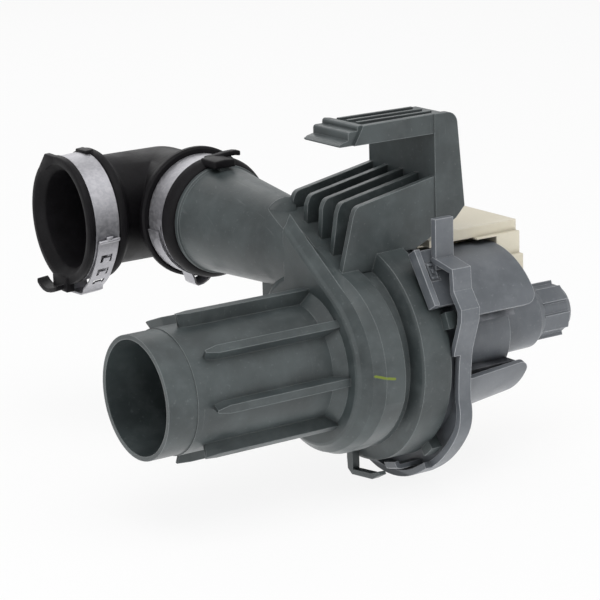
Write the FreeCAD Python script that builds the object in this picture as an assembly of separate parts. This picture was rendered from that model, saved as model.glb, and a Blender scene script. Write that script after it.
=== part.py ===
import FreeCAD, Part
import math
import os

# Circulation pump with rubber outlet elbow, millimetres.
# X runs along the pump axis from the inlet mouth to the motor, Y along the discharge, Z up.
# The origin is the centre of the inlet mouth.

# Inlet spigot
inlet_r = 22.1
tube_wall = 2.0
inlet_bore_r = inlet_r - tube_wall
spigot_ribs = 8
rib_first_x = 16.0
rib_slant = 1.6
rib_point = 5.0
rib_blunt = 1.0
rib_high = 4.8
rib_thick = 3.0
rib_turn = 3.5
spigot_step_x = 11.2
spigot_step = 0.35

# Locking ring of the volute
ring_front_x = 90.0
ring_rear_x = 103.5
ring_r = 40.2
ring_wall = 3.4
ring_bore_r = ring_r - ring_wall
ring_shoulder = 2.2
ring_step_x = ring_front_x + 1.8
neck_deep = 5.9
neck_r = ring_r - neck_deep
lug_high = 3.4
lug_long = 4.5
lug_angles = (66.5, 140.0, 222.0)
lug_half_angle = 4.0

# Scroll
front_x = 70.0
scroll_rear_x = 85.5
scroll_base_r = neck_r + 0.3
scroll_front_r = scroll_base_r - 3.8
scroll_round = 6.5
scroll_growth = 4.9
scroll_wall = 2.4
scroll_edge = 1.3
base_cone = 4.0
roof_slope = 0.44
roof_front_slope = 0.7

# Discharge diffuser
discharge_x = 80.6
discharge_base_z = 36.2
discharge_z = 38.3
discharge_base_r = 14.6
discharge_r = 19.7
discharge_base_y = 2.0
discharge_end_y = 67.0
discharge_face_y = 12.5
discharge_base_wide = 9.0
bead_long = 2.2
bead_high = 0.8
nozzle_r = 19.2
nozzle_long = 21.0
nozzle_barb = 0.5
discharge_wall = 2.3

# Comb bracket
comb_near_y = -13.0
comb_far_y = 26.0
comb_fins = 5
fin_thick = 2.2
fin_round = 3.2
wall_x = 118.0
wall_deep = 13.0
wall_lean = 3.2
wall_top_z = 84.0
wall_low_z = 45.5
wall_skin = 2.4
wall_round = 4.5
wall_proud = 0.4
fin_root_z = 62.0
fin_nose_x = 82.4
fin_nose_z = 55.4
fin_foot_x = 79.0
fin_foot_z = 32.0
fin_clear_z = 36.9
hook_under_z = 77.0
hook_tip_x = 77.7
hook_far_y = 9.0
hook_top_z = 82.8
hook_ribs = 3
hook_rib_thick = 1.3
hook_rib_high = 1.0
hook_round = 1.1

# Web under the discharge
web_x = 79.4
web_thick = 2.4
web_end_y = 41.0
web_low_z = 12.0

# Hook under the ring
low_hook_x = 88.0
low_hook_wide = 3.0
low_hook_drop = 11.2
low_hook_reach = 19.7
low_hook_thick = 2.0

# Rotor
shaft_r = 3.0
shaft_front_x = 76.5
shaft_rear_x = 165.0
magnet_r = 15.6
magnet_front_x = 115.5
magnet_rear_x = 144.0
magnet_bore_gap = 3.2
jacket_wall = 0.7
rotor_gap = 0.9
jacket_boss = 2.6
bearing_r = 6.0
bearing_long = 9.0
bearing_gap = 0.03
bearing_grooves = 3
cup_wall = 1.8
cup_short = 0.4
washer_r = 5.8
washer_thick = 1.2
washer_gap = 0.3
front_bearing_x = 97.0
rear_bearing_x = 152.0

# Motor carrier
flange_x = 112.0
flange_thick = 2.0
skirt_front_x = 104.0
skirt_wall = 2.4
skirt_gap_start = -62.0
skirt_gap_end = 27.0
skirt_step = 2.6
skirt_step_start = 84.0
skirt_step_end = 150.0
post_x = 104.2
post_y = -31.1
post_thick = 2.5
post_top_z = 51.2
can_wall = 1.8
can_bore_r = magnet_r + jacket_wall + rotor_gap
can_r = can_bore_r + can_wall
can_end_x = 148.0
tail_r = 12.5
nose_r = 9.6
nose_end_x = 186.0
nose_long = 15.0
tail_end_x = nose_end_x - nose_long
tail_chamfer = 3.5
nose_edge = 3.4
nose_panels = 6
nose_panel_wide = 6.4
nose_panel_high = 0.9
nose_panel_turn = -18.0
spigot_wall = 6.6
spigot_bore_r = ring_bore_r - spigot_wall
spigot_cone = 2.4
seal_groove_x = 97.4
seal_cord_r = 1.5
seal_squeeze = 0.25
fit_gap = 0.3
upper_guard_r = 31.0
upper_guard_end_x = 152.5
upper_guard_start = -28.0
upper_guard_end = 65.0
lower_guard_r = 30.6
lower_guard_taper = 4.4
lower_guard_end_x = 152.0
lower_guard_start = 110.0
lower_guard_end = 195.0
guard_wall = 2.0
guard_corner_r = 5.0
tab_gap = 1.0
tab_front_x = 97.5
tab_thick = 2.0
tab_bar = 2.2
tab_wide = 21.0
tab_offset = 8.7
tab_angle = 57.0
latch_tip_x = 98.4
latch_wide = 6.5
latch_y = -11.4
latch_high = 4.6

# Impeller
impeller_gap = 7.1
impeller_r = scroll_base_r - impeller_gap
impeller_front_x = front_x + scroll_wall + 2.0
impeller_back_x = ring_step_x - 4.4
impeller_plate = 1.8
impeller_hub_r = 7.0
eye_inset = 6.5
impeller_eye_r = inlet_bore_r - eye_inset
impeller_blades = 6
impeller_rise = 3.6
blade_thick = 1.6
blade_sweep = 62.0
nut_x = 77.1
nut_long = 2.6
nut_high = 2.4
wear_gap = 0.4
wear_wall = 2.0
wear_lip = 1.2
plate_thick = 2.4
plate_holes = 3
plate_hole_r = 1.6

# Stator
stack_front_x = 122.0
stack_rear_x = can_end_x - 2.0
leg_outer_z = can_r + 4.6
leg_inner_z = 8.6
pole_round = 0.8
yoke_y = 48.0
yoke_deep = 13.0
groove_pitch = 6.0
groove_wide = 0.3
groove_deep = 0.4
coil_start_y = 24.5
coil_long = 20.0
bobbin_wall = 1.0
cheek_thick = 1.2
coil_thick = 4.4
coil_gap = 0.3
rivet_r = 1.8
rivet_head = 1.0

# Coil cover
coil_reach = bobbin_wall + coil_thick + coil_gap
cover_wall = 1.8
cover_rim_x = stack_front_x - coil_reach - cover_wall
cover_front_x = 118.2
cover_rear_x = 164.0
cover_round = 2.0
cover_vent = 3.0
cover_top_z = 37.6
cover_low_z = -33.6
cover_near_y = -1.7
cover_box_y = 21.5
cover_far_y = 63.5
cover_roof = 4.0
cover_step = 2.1
cover_lip = 3.0
hood_front_x = 153.2
hood_gap = 2.2
blade_wide = 6.3
blade_gauge = 0.8
blade_spread = 10.0
blade_y = 36.0
blade_z = 17.2
blade_out = 8.0

# Rubber elbow
elbow_y = 112.0
elbow_free_x = 35.4
elbow_r = 22.0
elbow_free_r = 23.6
elbow_body_r = 21.0
elbow_wall = 3.4
elbow_bore_r = elbow_r - elbow_wall
elbow_flare = 1.2
elbow_stop_x = elbow_free_x + 30.0
elbow_stop = 0.8
elbow_lip = 0.9
elbow_lip_long = 2.8
elbow_bead = 1.0
elbow_bead_long = 5.6
elbow_collar = 2.9
elbow_collar_long = 3.4
elbow_tab_long = 13.0
elbow_pull_long = 15.5
elbow_pull_drop = 3.2
elbow_ear_turn = -23.0
elbow_tab_thick = 1.9
elbow_tab_wide = 4.0

# Band clamps
band_wide = 9.4
band_thick = 0.7
band_gap = 0.3
tail_narrow = 0.6
ear_high = 6.6
ear_wide = 11.0
small_ear = 0.68
slot_long = 4.0
slot_wide = 3.0
slot_pitch = 11.0
outlet_clamp_turn = 5.5
discharge_clamp_turn = 7.0


def vec(x, y, z):
    return FreeCAD.Vector(x, y, z)


def fused(shapes):
    whole = shapes[0].multiFuse(shapes[1:]) if len(shapes) > 1 else shapes[0]
    return whole.removeSplitter()


def box(x0, x1, y0, y1, z0, z1):
    return Part.makeBox(x1 - x0, y1 - y0, z1 - z0, vec(x0, y0, z0))


def cyl_x(x0, x1, r, y=0.0, z=0.0):
    return Part.makeCylinder(r, x1 - x0, vec(x0, y, z), vec(1, 0, 0))


def cyl_y(y0, y1, r, x, z):
    return Part.makeCylinder(r, y1 - y0, vec(x, y0, z), vec(0, 1, 0))


def ring_about_x(x0, x1, outer, inner):
    return cyl_x(x0, x1, outer).cut(cyl_x(x0 - 1.0, x1 + 1.0, inner))


def turned(profile):
    """Closed outline of (x, radius) points turned round the pump axis."""
    points = [vec(x, 0, r) for x, r in profile]
    face = Part.Face(Part.makePolygon(points + points[:1]))
    return face.revolve(vec(0, 0, 0), vec(1, 0, 0), 360)


def slab_xz(outline, y0, y1):
    points = [vec(x, y0, z) for x, z in outline]
    face = Part.Face(Part.makePolygon(points + points[:1]))
    return face.extrude(vec(0, y1 - y0, 0))


def slab_xy(outline, z0, z1):
    points = [vec(x, y, z0) for x, y in outline]
    face = Part.Face(Part.makePolygon(points + points[:1]))
    return face.extrude(vec(0, 0, z1 - z0))


def slab_yz(outline, x0, x1):
    points = [vec(x0, y, z) for y, z in outline]
    face = Part.Face(Part.makePolygon(points + points[:1]))
    return face.extrude(vec(x1 - x0, 0, 0))


def rounded(shape, radius, places):
    """Rounds the edges along Y that pass through the given (x, z) places."""
    edges = []
    for edge in shape.Edges:
        middle = edge.BoundBox.Center
        for x, z in places:
            if edge.BoundBox.YLength > 1.0 and math.hypot(middle.x - x, middle.z - z) < 0.01:
                edges.append(edge)
    return shape.makeFillet(radius, edges)


def about_x(shape, degrees):
    turned_copy = shape.copy()
    turned_copy.rotate(vec(0, 0, 0), vec(1, 0, 0), degrees)
    return turned_copy


def sector(x0, x1, outer, start, end):
    """Wedge between two angles, counted from straight up toward the near side."""
    points = [vec(x0, 0, 0), vec(x1, 0, 0), vec(x1, 0, outer), vec(x0, 0, outer)]
    face = Part.Face(Part.makePolygon(points + points[:1]))
    return about_x(face.revolve(vec(0, 0, 0), vec(1, 0, 0), end - start), start)


def polar(x, r, degrees):
    a = math.radians(degrees)
    return vec(x, -r * math.sin(a), r * math.cos(a))


def arc_chain(points):
    """Line of arcs, each through three points in turn."""
    arcs = []
    for first in range(0, len(points) - 2, 2):
        arcs.append(Part.Arc(points[first], points[first + 1], points[first + 2]).toShape())
    return arcs


def smooth(value):
    v = min(1.0, max(0.0, value))
    return v * v * (3.0 - 2.0 * v)


def scroll_swell(degrees):
    """Share of the scroll growth at one angle: full on the near side, less on top, none below."""
    return smooth(degrees / 80.0) * smooth((150.0 - degrees) / 55.0)


def scroll_wire(x, base, growth, slope):
    """Outline of the scroll at x: round below, with a straight roof that runs up to the discharge."""
    far = discharge_face_y
    start = math.degrees(math.atan(slope))
    end = 360.0 - math.degrees(math.asin(far / base))
    points = []
    for step in range(17):
        angle = start + (end - start) * step / 16.0
        points.append(polar(x, base + growth * scroll_swell(angle), angle))
    top = vec(x, far, roof_z(far, base + growth * scroll_swell(start), slope))
    return Part.Wire(arc_chain(points) + Part.makePolygon([points[-1], top, points[0]]).Edges)


def roof_z(y, r, slope):
    """Height of the roof line that leaves a circle round the pump axis with the given slope."""
    return r * math.hypot(1.0, slope) + slope * y


def scroll_body(inset):
    """Scroll of the volute, swelling toward the near side; inset gives the hollow inside it."""
    front = front_x + inset
    rear = scroll_rear_x - inset * 0.3
    edge = scroll_edge
    low = scroll_front_r - inset
    high = scroll_base_r - inset
    sections = [
        scroll_wire(front, low - edge, 0.0, roof_front_slope),
        scroll_wire(front + edge * 0.3, low - edge * 0.3, 0.0, roof_front_slope),
        scroll_wire(front + edge, low + 0.4, 0.2, roof_front_slope),
        scroll_wire(front + scroll_round * 0.5, (low + 2.0 * high) / 3.0, scroll_growth * 0.5, roof_front_slope),
        scroll_wire(front + scroll_round, high, scroll_growth * 0.9, roof_slope),
        scroll_wire(rear - edge, high, scroll_growth, roof_slope),
        scroll_wire(rear + edge * 0.6, high - edge, scroll_growth * 0.6, roof_slope),
    ]
    return Part.makeLoft(sections, True, True)


def on_discharge(shape):
    """Moves a shape built along the X axis onto the axis of the discharge."""
    placed = shape.copy()
    placed.rotate(vec(0, 0, 0), vec(0, 0, 1), 90)
    placed.translate(vec(discharge_x, 0, discharge_z))
    return placed


def oval_y(y, z, wide, high):
    """Oval across the discharge, as a chain of arcs."""
    points = []
    for step in range(17):
        angle = math.radians((step % 16) * 22.5)
        points.append(vec(discharge_x + wide * math.sin(angle), y, z + high * math.cos(angle)))
    return Part.Wire(arc_chain(points))


def diffuser(inset):
    """Discharge pipe from a tall oval at the scroll to a round end, cut off by the sloped roof."""
    end_r = discharge_r - inset
    body = Part.makeLoft([
        oval_y(discharge_base_y + inset, discharge_base_z,
               discharge_base_wide - inset, discharge_base_r - inset),
        oval_y(discharge_end_y, discharge_z, end_r, end_r),
    ], True, True)
    far = comb_far_y
    near = -discharge_r
    side = 2.0 * discharge_r
    high = discharge_z + side
    roof_r = scroll_base_r + scroll_growth * scroll_swell(math.degrees(math.atan(roof_slope))) - inset
    above = slab_yz([
        (near, roof_z(near, roof_r, roof_slope)), (far, roof_z(far, roof_r, roof_slope)),
        (far, high), (near, high),
    ], discharge_x - side, discharge_x + side)
    return body.cut(above)


def discharge_key():
    """Small block on the pipe that the elbow's tongue drops over."""
    y0 = discharge_end_y - 3.2
    top = discharge_z + discharge_r + bead_high
    return box(discharge_x - 3.0, discharge_x + 0.8, y0, discharge_end_y + 0.5, top - 3.5, top - 0.1)


def pipe_web():
    """Thin web between the drum and the underside of the discharge pipe."""
    return box(web_x, web_x + web_thick, scroll_front_r * 0.5, web_end_y,
               web_low_z, discharge_z - discharge_base_r)


def inlet_spigot():
    tube = cyl_x(spigot_step_x, front_x + 1.0, inlet_r)
    mouth = cyl_x(0.0, spigot_step_x, inlet_r - spigot_step)
    foot = turned([
        (front_x - base_cone, inlet_r - 1.0), (front_x - base_cone, inlet_r),
        (front_x + 0.5, inlet_r + base_cone), (front_x + 0.5, inlet_r - 1.0),
    ])
    half = rib_thick / 2.0
    tip = inlet_r + rib_high
    side = slab_xz([
        (rib_first_x + rib_slant, inlet_r - 0.8), (rib_first_x, tip),
        (front_x + 0.5, tip), (front_x + 0.5, inlet_r - 0.8),
    ], -half, half)
    plan = slab_xy([
        (rib_first_x, -rib_blunt / 2.0), (rib_first_x, rib_blunt / 2.0), (rib_first_x + rib_point, half),
        (front_x + 1.0, half), (front_x + 1.0, -half), (rib_first_x + rib_point, -half),
    ], inlet_r - 1.0, tip + 1.0)
    rib = side.common(plan)
    parts = [tube, mouth, foot]
    for count in range(spigot_ribs):
        parts.append(about_x(rib, rib_turn + count * 360.0 / spigot_ribs))
    return parts


def locking_ring():
    bore = neck_r - scroll_wall - 0.5
    ring = turned([
        (scroll_rear_x - 2.0, neck_r), (ring_front_x, neck_r),
        (ring_front_x + ring_shoulder * 0.75, ring_r - 1.2),
        (ring_front_x + ring_shoulder, ring_r - 0.3),
        (ring_rear_x, ring_r), (ring_rear_x, bore), (scroll_rear_x - 2.0, bore),
    ])
    parts = [ring]
    lug_x = ring_rear_x - 1.5
    for angle in lug_angles:
        lug = sector(lug_x, lug_x + lug_long, ring_r + lug_high, angle - lug_half_angle, angle + lug_half_angle)
        parts.append(lug.cut(cyl_x(lug_x - 1.0, lug_x + lug_long + 1.0, ring_bore_r + 1.0)))
    return parts


def discharge_nozzle():
    end = discharge_end_y
    tip = end + nozzle_long
    return on_discharge(turned([
        (end - 1.0, discharge_r - 1.0), (end, discharge_r), (end + 0.5, discharge_r + bead_high),
        (end + bead_long, discharge_r + bead_high), (end + bead_long, nozzle_r),
        (tip - 3.0, nozzle_r), (tip - 3.0, nozzle_r + nozzle_barb), (tip, nozzle_r - nozzle_barb),
        (tip, nozzle_r - discharge_wall), (end - 1.0, discharge_r - discharge_wall),
    ]))


def comb_wall():
    rear = wall_x + wall_deep
    top_rear = rear - wall_lean
    body = slab_xz([
        (wall_x, wall_low_z - 4.5), (rear - 4.0, wall_low_z), (rear, wall_low_z + 4.0), (top_rear, wall_top_z),
        (wall_x, wall_top_z),
    ], comb_near_y - wall_proud, comb_far_y)
    body = rounded(body, wall_round, [(top_rear, wall_top_z)])
    far_corner = slab_yz([
        (hook_far_y, hook_top_z), (comb_far_y + 1.0, hook_under_z - 4.0), (comb_far_y + 1.0, wall_top_z + 9.0),
        (comb_near_y + fin_thick, wall_top_z + 9.0), (comb_near_y + fin_thick, hook_top_z),
    ], wall_x - 5.0, rear + 5.0)
    inside = box(wall_x + wall_skin, rear + 1.0, comb_near_y + wall_skin, comb_far_y - wall_skin,
                 wall_low_z + 3.0, hook_under_z - 2.0)
    return body.cut(far_corner).cut(inside)


def comb_fin(number):
    """One fin of the comb; the front ones start further back where the scroll roof is lower."""
    pitch = (comb_far_y - comb_near_y - fin_thick) / (comb_fins - 1)
    y0 = comb_near_y + number * pitch
    foot = fin_foot_x + 2.0 * min(number, 2) - 2.0
    outline = [
        (wall_x + 1.0, fin_root_z), (fin_nose_x + 1.4, fin_nose_z), (fin_nose_x, fin_nose_z - 3.4),
        (foot, fin_foot_z), (skirt_front_x - 2.0, fin_foot_z), (skirt_front_x, fin_clear_z),
        (flange_x - 3.0, fin_clear_z), (wall_x + 1.0, wall_low_z - 4.0),
    ]
    return rounded(slab_xz(outline, y0, y0 + fin_thick), fin_round, [(fin_nose_x + 1.4, fin_nose_z)])


def hook_arm():
    """Arm over the comb with a thin lip and two rolled steps at its tip."""
    tip = hook_tip_x
    low = hook_under_z
    top = hook_top_z
    arm = slab_xz([
        (wall_x + 0.5, low), (tip + 0.5, low), (tip, low + 0.6), (tip + 1.5, low + 1.4), (tip + 4.1, low + 2.0),
        (tip + 4.1, top - 0.9), (tip + 8.0, top - 0.9), (tip + 8.0, top + 1.1),
        (tip + 11.6, top + 0.6), (tip + 12.4, top), (wall_x + 0.5, top),
    ], comb_near_y + 1.0, hook_far_y)
    arm = rounded(arm, hook_round, [(tip + 4.1, top - 0.9), (tip + 8.0, top + 1.1)])
    side = slab_xz([
        (wall_x + 0.5, low), (tip + 6.0, low), (tip + 10.0, wall_top_z - 0.4), (wall_x + 0.5, wall_top_z),
    ], comb_near_y, comb_near_y + fin_thick)
    parts = [arm, side]
    rib_pitch = (hook_far_y - comb_near_y) / (hook_ribs + 1)
    for count in range(hook_ribs):
        y = comb_near_y + fin_thick + (count + 1) * rib_pitch - hook_rib_thick
        parts.append(box(tip + 12.0, wall_x + 4.0, y, y + hook_rib_thick, top - 1.0, top + hook_rib_high))
    return parts


def lower_hook():
    """Open hook below the ring, bent toward the near side."""
    low = -neck_r - low_hook_drop
    far = -low_hook_reach + 2.1
    thick = low_hook_thick
    return slab_yz([
        (2.1, -neck_r + 1.0), (2.1, low + 6.0), (1.7, low + 1.7), (-0.8, low), (far + 4.5, low + 1.3),
        (far, low + 3.8), (far + 0.6, low + 3.8 + thick * 0.6), (far + 5.1, low + 1.3 + thick),
        (-1.4, low + thick), (-1.4, -neck_r + 1.0),
    ], low_hook_x, low_hook_x + low_hook_wide)


def volute_housing():
    outer = [scroll_body(0.0), diffuser(0.0), discharge_nozzle()]
    outer += [discharge_key(), pipe_web(), comb_wall(), lower_hook()]
    outer += inlet_spigot() + locking_ring() + hook_arm()
    for number in range(comb_fins):
        outer.append(comb_fin(number))
    body = fused(outer)
    end = discharge_end_y
    hollow = [
        scroll_body(scroll_wall), diffuser(discharge_wall),
        cyl_x(-1.0, front_x - 1.0, inlet_bore_r),
        cyl_x(front_x - 2.0, front_x + scroll_wall + 0.5, wear_seat_r()),
        cyl_x(scroll_rear_x - 2.0, ring_step_x + 0.2, neck_r - scroll_wall),
        cyl_x(ring_step_x, ring_rear_x + 10.0, ring_bore_r),
        on_discharge(cyl_x(end - 1.0, end + nozzle_long + 1.0, nozzle_r - discharge_wall)),
    ]
    return body.cut(fused(hollow))


def wear_seat_r():
    return impeller_eye_r + blade_thick + wear_gap + wear_wall


def flange_shoulder():
    """Straight-edged part of the flange outline round the post: angle and height over the ring."""
    return [(34.0, -1.7), (38.0, 7.6), (49.0, 13.6), (56.2, 9.4), (64.5, 10.1), (69.0, 8.2), (82.3, 1.4)]


def flange_wave():
    """Wavy part of the flange outline, from the near side downward and round the far side."""
    return [
        (82.3, 1.4), (95.7, 0.2), (108.0, 1.9), (116.6, 5.1), (124.1, 6.1), (137.0, 6.6), (155.0, 7.4),
        (172.0, 8.3), (188.0, 7.7), (205.0, 6.7), (222.0, 8.0), (240.0, 6.4), (257.0, 4.4), (274.0, 3.7),
        (289.0, 3.2), (301.0, 0.4), (313.0, -3.2), (328.0, -3.6), (347.0, -3.6), (366.0, -3.6), (394.0, -1.7),
    ]


def flange_face(inset):
    corners = [polar(flange_x, ring_r + rise - inset, angle) for angle, rise in flange_shoulder()]
    bends = [polar(flange_x, ring_r + rise - inset, angle) for angle, rise in flange_wave()]
    return Part.Face(Part.Wire(Part.makePolygon(corners).Edges + arc_chain(bends)))


def carrier_flange():
    """Wavy flange with a skirt over the rear of the ring and a post on its near shoulder."""
    deep = vec(skirt_front_x - flange_x, 0, 0)
    plate = flange_face(0.0).extrude(vec(-flange_thick, 0, 0))
    skirt = flange_face(0.0).extrude(deep).cut(flange_face(skirt_wall).extrude(deep))
    gap = sector(skirt_front_x - 1.0, flange_x - flange_thick, 2.0 * ring_r, skirt_gap_start, skirt_gap_end)
    step = sector(skirt_front_x - 1.0, skirt_front_x + skirt_step, 2.0 * ring_r,
                  skirt_step_start, skirt_step_end)
    post = box(post_x, flange_x, post_y, post_y + post_thick, ring_r - 7.0, post_top_z)
    skirt = skirt.cut(gap).cut(step)
    return fused([plate, skirt, post.cut(cyl_x(post_x - 1.0, skirt_front_x, ring_r + tab_gap))])


def carrier_can():
    outer = turned([
        (flange_x - flange_thick, 0.0), (flange_x - flange_thick, can_r), (can_end_x - 1.0, can_r),
        (can_end_x, can_r - 1.0), (can_end_x, tail_r + 0.3), (tail_end_x - tail_chamfer, tail_r),
        (tail_end_x, tail_r - tail_chamfer * 0.6), (tail_end_x, nose_r + 0.2),
        (nose_end_x - nose_edge, nose_r), (nose_end_x - nose_edge * 0.4, nose_r - nose_edge * 0.25),
        (nose_end_x - nose_edge * 0.1, nose_r - nose_edge * 0.7), (nose_end_x, nose_r - nose_edge * 1.3),
        (nose_end_x, 0.0),
    ])
    seat_end = rear_bearing_x + bearing_long
    inner = turned([
        (flange_x - 3.0 * flange_thick, 0.0), (flange_x - 3.0 * flange_thick, can_bore_r),
        (can_end_x - can_wall, can_bore_r), (can_end_x - can_wall, cup_seat_r()),
        (seat_end, cup_seat_r()), (seat_end, shaft_r + 1.5),
        (shaft_rear_x + 1.5, shaft_r + 1.5), (shaft_rear_x + 1.5, 0.0),
    ])
    return outer, inner


def cup_seat_r():
    return bearing_r + cup_wall


def nose_panel_set():
    half = nose_panel_wide / 2.0
    end = nose_end_x - nose_edge
    panel = box(tail_end_x - 0.5, end, -half, half, nose_r - 1.0, nose_r + nose_panel_high)
    panels = []
    for count in range(nose_panels):
        panels.append(about_x(panel, nose_panel_turn + count * 360.0 / nose_panels))
    return panels


def carrier_spigot():
    """Collar that enters the locking ring and carries the seal."""
    outer_r = ring_bore_r - fit_gap
    start = spigot_front_x()
    body = turned([
        (start, spigot_bore_r), (start, outer_r - 0.8), (start + 0.8, outer_r),
        (flange_x - 1.0, outer_r), (flange_x - 1.0, outer_r - spigot_cone),
        (start + 2.0, spigot_bore_r + 1.0), (start + 2.0, spigot_bore_r),
    ])
    groove = ring_about_x(seal_groove_x, seal_groove_x + 2.0 * seal_cord_r + 0.4, outer_r + 1.0, seal_floor_r())
    return body.cut(groove)


def spigot_front_x():
    return ring_step_x + plate_thick


def seal_floor_r():
    return ring_bore_r - 2.0 * seal_cord_r + seal_squeeze


def corner_cut(x_end, edge_angle, side):
    """Cutter that rounds one corner of a guard; side tells where the guard lies from the edge."""
    r = guard_corner_r
    reach = 2.0 * upper_guard_r
    block = box(x_end - r, x_end + 4.0 * r, -2.0 * r, r, 0.0, reach)
    keep = Part.makeCylinder(r, reach, vec(x_end - r, r, 0.0), vec(0, 0, 1))
    cutter = block.cut(keep)
    if side < 0:
        cutter = cutter.mirror(vec(0, 0, 0), vec(0, 1, 0))
    return about_x(cutter, edge_angle)


def upper_guard():
    end = upper_guard_end_x
    shell = ring_about_x(flange_x - 0.5, end, upper_guard_r, upper_guard_r - guard_wall)
    keep = sector(flange_x - 1.0, end + 1.0, upper_guard_r + 1.0, upper_guard_start, upper_guard_end)
    return shell.common(keep).cut(corner_cut(end, upper_guard_end, 1))


def lower_guard():
    long = lower_guard_end_x - flange_x
    big = lower_guard_r
    small = lower_guard_r - lower_guard_taper
    outer = Part.makeCone(big, small, long, vec(flange_x - 0.5, 0, 0), vec(1, 0, 0))
    inner = Part.makeCone(big - guard_wall, small - guard_wall, long + 1.0,
                          vec(flange_x - 1.0, 0, 0), vec(1, 0, 0))
    keep = sector(flange_x - 1.0, lower_guard_end_x + 1.0, big + 1.0, lower_guard_start, lower_guard_end)
    return outer.cut(inner).common(keep).cut(corner_cut(lower_guard_end_x - 0.5, lower_guard_start, -1))


def snap_tab():
    """Flat tab over the ring with a window and a stiff front bar."""
    low = ring_r + tab_gap
    y0 = tab_offset - tab_wide / 2.0
    y1 = tab_offset + tab_wide / 2.0
    front = tab_front_x
    plate = box(front, flange_x - 1.0, y0, y1, low, low + tab_thick)
    window = box(front + 3.5, skirt_front_x + 1.5, y1 - 11.7, y1 - 4.7, low - 1.0, low + tab_thick + 1.0)
    bar = box(front, front + tab_bar, y0, y1, low, low + tab_thick + tab_bar)
    return about_x(plate.fuse(bar).cut(window), tab_angle)


def latch_arm():
    """Springy latch below the ring with a raised nose."""
    high = ring_r + latch_high
    tip = latch_tip_x
    low = slab_xz([
        (flange_x - 1.0, high - 1.8), (tip + 1.6, high - 1.8), (tip + 1.0, high - 3.2), (tip - 0.6, high - 3.0),
        (tip, high - 0.6), (tip + 1.8, high), (flange_x - 1.0, high),
    ], -latch_wide / 2.0, latch_wide / 2.0)
    angle = math.degrees(math.atan2(-latch_y, -high))
    return about_x(low, angle)


def motor_carrier():
    outer, inner = carrier_can()
    parts = [outer, carrier_flange(), carrier_spigot(), upper_guard(), lower_guard(), snap_tab(), latch_arm()]
    parts += nose_panel_set()
    return fused(parts).cut(inner)


def housing_seal():
    """Seal ring, pressed flat between the ring bore and the floor of its groove."""
    x0 = seal_groove_x + 0.2
    x1 = x0 + 2.0 * seal_cord_r
    outer = ring_bore_r
    inner = seal_floor_r()
    edge = seal_cord_r * 0.6
    return turned([
        (x0, inner + edge), (x0, outer - edge), (x0 + edge, outer), (x1 - edge, outer),
        (x1, outer - edge), (x1, inner + edge), (x1 - edge, inner), (x0 + edge, inner),
    ])


def wear_ring():
    inner = impeller_eye_r + blade_thick + wear_gap
    seat_x = front_x - 1.0
    lip = ring_about_x(seat_x - wear_lip, seat_x, wear_seat_r() + wear_lip, inner)
    sleeve = ring_about_x(seat_x - 0.5, front_x + scroll_wall + 0.4, wear_seat_r(), inner)
    return fused([lip, sleeve])


def blade(front, back):
    """One vane as an arc strip swept back from the eye to the rim."""
    inner_r = impeller_eye_r - 3.0
    outer_r = impeller_r - 0.6
    sides = []
    for side in (-1.0, 1.0):
        points = []
        for share in (0.0, 0.5, 1.0):
            r = inner_r + (outer_r - inner_r) * share
            lean = math.degrees(side * blade_thick / 2.0 / r)
            points.append(polar(front, r, blade_sweep * share + lean))
        sides.append(points)
    low, high = sides
    wire = Part.Wire([
        Part.Arc(low[0], low[1], low[2]).toShape(), Part.makeLine(low[2], high[2]),
        Part.Arc(high[2], high[1], high[0]).toShape(), Part.makeLine(high[0], low[0]),
    ])
    return Part.Face(wire).extrude(vec(back - front, 0, 0))


def shroud_face_x(r):
    share = (r - impeller_eye_r) / (impeller_r - impeller_eye_r)
    return impeller_front_x + impeller_rise * share


def impeller():
    plate = ring_about_x(impeller_back_x - impeller_plate, impeller_back_x, impeller_r, shaft_r)
    nut_end = nut_x + nut_long
    hub_end = ring_step_x - 0.6
    hub = turned([
        (nut_end, shaft_r), (nut_end, impeller_hub_r - 2.0), (impeller_back_x - 4.0, impeller_hub_r),
        (hub_end, impeller_hub_r), (hub_end, shaft_r),
    ])
    limit = turned([
        (impeller_front_x + impeller_plate, 0.0),
        (shroud_face_x(impeller_eye_r) + impeller_plate, impeller_eye_r),
        (shroud_face_x(impeller_r) + impeller_plate, impeller_r),
        (impeller_back_x - 0.5, impeller_r), (impeller_back_x - 0.5, 0.0),
    ])
    parts = [plate, hub]
    one = blade(impeller_front_x, impeller_back_x - 0.4).common(limit)
    for count in range(impeller_blades):
        parts.append(about_x(one, count * 360.0 / impeller_blades))
    return fused(parts)


def impeller_shroud():
    eye = impeller_eye_r
    front_low = shroud_face_x(eye)
    front_high = shroud_face_x(impeller_r)
    return turned([
        (front_x + 0.4, eye), (front_x + 0.4, eye + blade_thick), (front_low, eye + blade_thick),
        (front_high, impeller_r), (front_high + impeller_plate, impeller_r),
        (front_low + impeller_plate, eye),
    ])


def impeller_nut():
    across = shaft_r + nut_high * 0.7
    end = nut_x + nut_long
    nut = ring_about_x(nut_x, end, shaft_r + nut_high, shaft_r)
    flat = box(nut_x - 1.0, end + 1.0, -2.0 * across, 2.0 * across, across, 2.0 * across)
    for count in range(6):
        nut = nut.cut(about_x(flat, count * 60.0))
    return nut


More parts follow.
